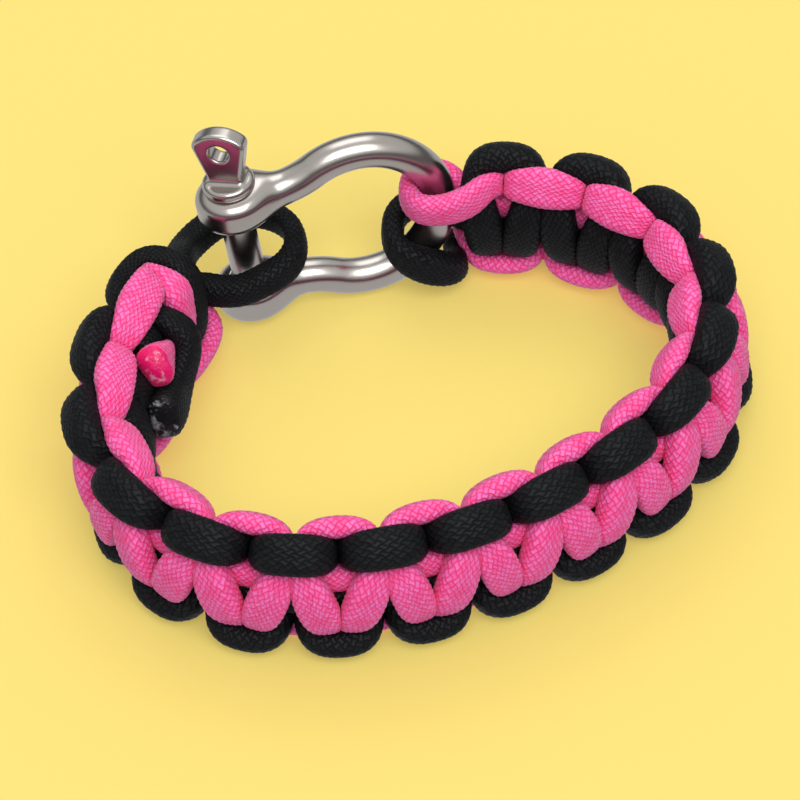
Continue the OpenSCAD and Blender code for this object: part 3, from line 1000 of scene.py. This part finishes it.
def braid_finish(name, columns, light, gap, melt, gloss, sheen):
    """Braided nylon: floats over and under in turn, a painted highlight on each float's crown (light)
    and painted shade in the gaps (gap), fine fibres, a singed end
    """
    bulge, patch_scale, crust_scale = 0.17, 420, 1300
    burnt, pale = melt
    f = Finish(name)
    uv = f.node("ShaderNodeUVMap", {"uv_map": "braid"})
    parts = f.node("ShaderNodeSeparateXYZ", None, Vector=uv.outputs[0])
    u, v = f.number(parts.outputs[0]), f.number(parts.outputs[1])

    # Each float swells over the ends of its neighbours
    p, q = u + v, u - v
    p, q = (p + (q * math.pi).sine() * (p * math.pi).cosine() * bulge,
            q - (p * math.pi).sine() * (q * math.pi).cosine() * bulge)
    i, j = math.floor(p), math.floor(q)
    fp, fq = p - i, q - j
    right = (i + j) % 2 < 1
    across = fq + right * (fp - fq)
    along = fp + right * (fq - fp)
    x, y = abs(across * 2 - 1), abs(along * 2 - 1)
    crown = (1 - x ** 3) * (1 - y ** 5 * 0.8)

    # No two floats are the same: each gets its own brightness at random, which also paints a glint on
    # some crowns, and cloudy patches lie over them
    cell = f.vector(i % columns, j % columns, 0)
    own = f.node("ShaderNodeTexWhiteNoise", {"noise_dimensions": "2D"}, Vector=cell)
    chance = f.number(own.outputs["Value"])
    fibre = f.noise(f.vector(across * 6, along * 0.8, chance * 90), 1.0, 1.5)
    patches = f.noise(f.place(), patch_scale, 2.0)
    # Painted highlight and shade: the colour is lightest on each float's crown and falls to the gap
    # colour at its edges and between the floats
    painted_light_and_tone = (crown * (0.3 + fibre * 0.5 + chance * 0.6) + (patches - 0.5) * 0.2).clamped()

    # The free end is melted smooth, with a crust of ash at its tip
    singed = f.number(f.node("ShaderNodeAttribute", {"attribute_name": "singed"}).outputs["Fac"])
    crust = f.noise(f.place(), crust_scale, 4.0, 0.65)
    melted = (singed - 0.5 + (crust - 0.5) * 0.7).stepped()
    ash = (singed - 1.12 + (crust - 0.5) * 1.2 + (patches - 0.5) * 0.9).stepped()

    # Painted shade in the gaps and a painted highlight on the crowns
    woven_with_painted_light = f.mix(painted_light_and_tone, rgba(gap), rgba(light))
    scorched = f.mix(ash, rgba(burnt), rgba(pale))
    height = ((1 - x ** 2) * (1 - y ** 3 * 0.7) + fibre * 0.25) * (1 - melted) + crust * melted * 1.5
    f.set(Base_Color=f.mix(melted, woven_with_painted_light, scorched), Roughness=0.62 - crown * 0.12 - melted * 0.25,
          Normal=f.bump(0.8, 0.13 * MM, height), Specular_IOR_Level=gloss, Sheen_Weight=sheen,
          Sheen_Roughness=0.45)
    return f.material


def steel_finish(name, colour):
    """Polished stainless steel, a little uneven from handling"""
    f = Finish(name)
    broad = f.noise(f.place(), 260, 3.0, 0.6)
    tint = f.mix(broad, rgba([0.93 * c for c in colour]), rgba(colour))
    f.set(Base_Color=tint, Metallic=1.0, Roughness=0.2 + broad * 0.1,
          Normal=f.bump(0.06, 0.03 * MM, broad))
    return f.material


def floor_finish(name, colour, glow):
    """Smooth matt paper over a light table"""
    f = Finish(name)
    grain = f.noise(f.place(), 900, 3.0, 0.6)
    tint = f.mix(grain, rgba([0.985 * c for c in colour]), rgba(colour))
    f.set(Base_Color=tint, Roughness=0.85, Specular_IOR_Level=0.15, Emission_Color=tint,
          Emission_Strength=glow)
    return f.material


# One operator for each piece and one for the stage

def finish_piece(piece, material, body, node):
    """Gives a piece its material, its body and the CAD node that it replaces"""
    piece.data.materials.append(material)
    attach(piece, body)
    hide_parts(node)


class BRACELET_OT_black_cord(bpy.types.Operator):
    """Black cord: loop round the pin, lower core, inner crossings and outer bars, singed stub"""
    bl_idname = "bracelet.black_cord"
    bl_label = "Black cord"

    def execute(self, context):
        cord = context.scene.bracelet_cord
        piece = braided_cord("braided_black_cord", 0)
        material = braid_finish("black braid", cord.columns, cord.black, cord.black_gap_shade, MELT["black"],
                                gloss=0.14, sheen=0)
        finish_piece(piece, material, "bracelet", "black_cord")
        return {"FINISHED"}


class BRACELET_OT_pink_cord(bpy.types.Operator):
    """Pink cord: upper core, outer crossings and inner bights, singed stub"""
    bl_idname = "bracelet.pink_cord"
    bl_label = "Pink cord"

    def execute(self, context):
        cord = context.scene.bracelet_cord
        piece = braided_cord("braided_pink_cord", 1)
        material = braid_finish("pink braid", cord.columns, cord.pink, cord.pink_gap_shade, MELT["pink"],
                                gloss=0.35, sheen=0.1)
        finish_piece(piece, material, "bracelet", "pink_cord")
        return {"FINISHED"}


class BRACELET_OT_shackle(bpy.types.Operator):
    """Bow of the shackle and its screw pin in polished steel"""
    bl_idname = "bracelet.shackle"
    bl_label = "Shackle"

    def execute(self, context):
        steel = steel_finish("polished steel", context.scene.bracelet_shackle.steel)
        bow = steel_piece("forged_bow", "shackle_bow", bow_shape, voxel=0.2)
        finish_piece(bow, steel, "bracelet", "shackle_bow")
        pin = steel_piece("screw_pin", "shackle_pin", pin_shape, voxel=0.15)
        finish_piece(pin, steel, "pin", "shackle_pin")
        return {"FINISHED"}


def area_light(name, setup, power, target):
    """Rectangular lamp that faces the target"""
    place, size, colour = setup
    lamp = bpy.data.lights.new(name, "AREA")
    lamp.shape = "RECTANGLE"
    lamp.size, lamp.size_y = size
    lamp.energy = power
    lamp.color = colour
    holder = bpy.data.objects.new(name, lamp)
    holder.location = place
    holder.rotation_euler = (Vector(target) - Vector(place)).to_track_quat("-Z", "Y").to_euler()
    bpy.context.scene.collection.objects.link(holder)


def studio_world(strength):
    """Soft light from above and from the bright table below, and a dark band between them that
    the steel mirrors"""
    world = bpy.data.worlds.new("studio")
    world.use_nodes = True
    nodes = Nodes(world.node_tree)
    sky = next(n for n in world.node_tree.nodes if n.type == "BACKGROUND")
    direction = nodes.node("ShaderNodeTexCoord").outputs["Generated"]
    height = nodes.node("ShaderNodeSeparateXYZ", None, Vector=direction).outputs["Z"]
    ramp = nodes.node("ShaderNodeValToRGB", {"stops": SKY}, Fac=height)
    nodes.feed(sky.inputs["Color"], ramp.outputs[0])
    nodes.feed(sky.inputs["Strength"], strength)
    return world


def add_camera(stage, target):
    """Camera in front of the target and above it"""
    lens = bpy.data.cameras.new("camera")
    lens.lens = stage.lens
    lens.sensor_width = 36
    lens.clip_start = 0.01
    camera = bpy.data.objects.new("camera", lens)
    away = Vector((0, -math.cos(stage.elevation), math.sin(stage.elevation)))
    camera.location = target + stage.distance * away
    camera.rotation_euler = (math.pi / 2 - stage.elevation, 0, 0)
    bpy.context.scene.collection.objects.link(camera)
    bpy.context.scene.camera = camera


class BRACELET_OT_stage(bpy.types.Operator):
    """Plain yellow floor, soft studio light and the camera"""
    bl_idname = "bracelet.stage"
    bl_label = "Stage"

    def execute(self, context):
        stage = context.scene.bracelet_stage
        corners = FLOOR_HALF * np.array([[-1, -1, 0], [1, -1, 0], [1, 1, 0], [-1, 1, 0]])
        floor = new_object("floor", corners, np.array([[0, 1, 2, 3]]))
        floor.data.materials.append(floor_finish("matt paper", stage.floor, stage.glow))
        floor.visible_glossy = False
        floor.visible_diffuse = False
        target = Vector((np.array([0, 0, LOOK_HEIGHT]) - origin()) * MM)
        area_light("key", KEY_LAMP, stage.key_power, target)
        area_light("fill", FILL_LAMP, stage.fill_power, target)
        context.scene.world = studio_world(stage.sky)
        context.scene.view_settings.view_transform = "Standard"
        add_camera(stage, target)
        return {"FINISHED"}


class BRACELET_PT_panel(bpy.types.Panel):
    """Lists the pieces and the stage"""
    bl_label = "Cobra Weave Bracelet"
    bl_idname = "BRACELET_PT_panel"
    bl_space_type = "VIEW_3D"
    bl_region_type = "UI"
    bl_category = "Bracelet"

    def draw(self, context):
        for name in GROUPS:
            group = getattr(context.scene, name)
            box = self.layout.box()
            for value in group.__annotations__:
                box.prop(group, value)
        for operator in OPERATORS:
            self.layout.operator(operator.bl_idname)


OPERATORS = (BRACELET_OT_stage, BRACELET_OT_black_cord, BRACELET_OT_pink_cord, BRACELET_OT_shackle)
GROUPS = {
    "bracelet_cord": CordSettings,
    "bracelet_shackle": ShackleSettings,
    "bracelet_stage": StageSettings,
}


def register():
    for name, group in GROUPS.items():
        bpy.utils.register_class(group)
        setattr(bpy.types.Scene, name, bpy.props.PointerProperty(type=group))
    for cls in (*OPERATORS, BRACELET_PT_panel):
        bpy.utils.register_class(cls)


def unregister():
    for cls in (BRACELET_PT_panel, *reversed(OPERATORS)):
        bpy.utils.unregister_class(cls)
    for name, group in GROUPS.items():
        delattr(bpy.types.Scene, name)
        bpy.utils.unregister_class(group)


def main():
    register()
    bpy.ops.bracelet.stage()
    bpy.ops.bracelet.black_cord()
    bpy.ops.bracelet.pink_cord()
    bpy.ops.bracelet.shackle()


if __name__ == "__main__":
    main()
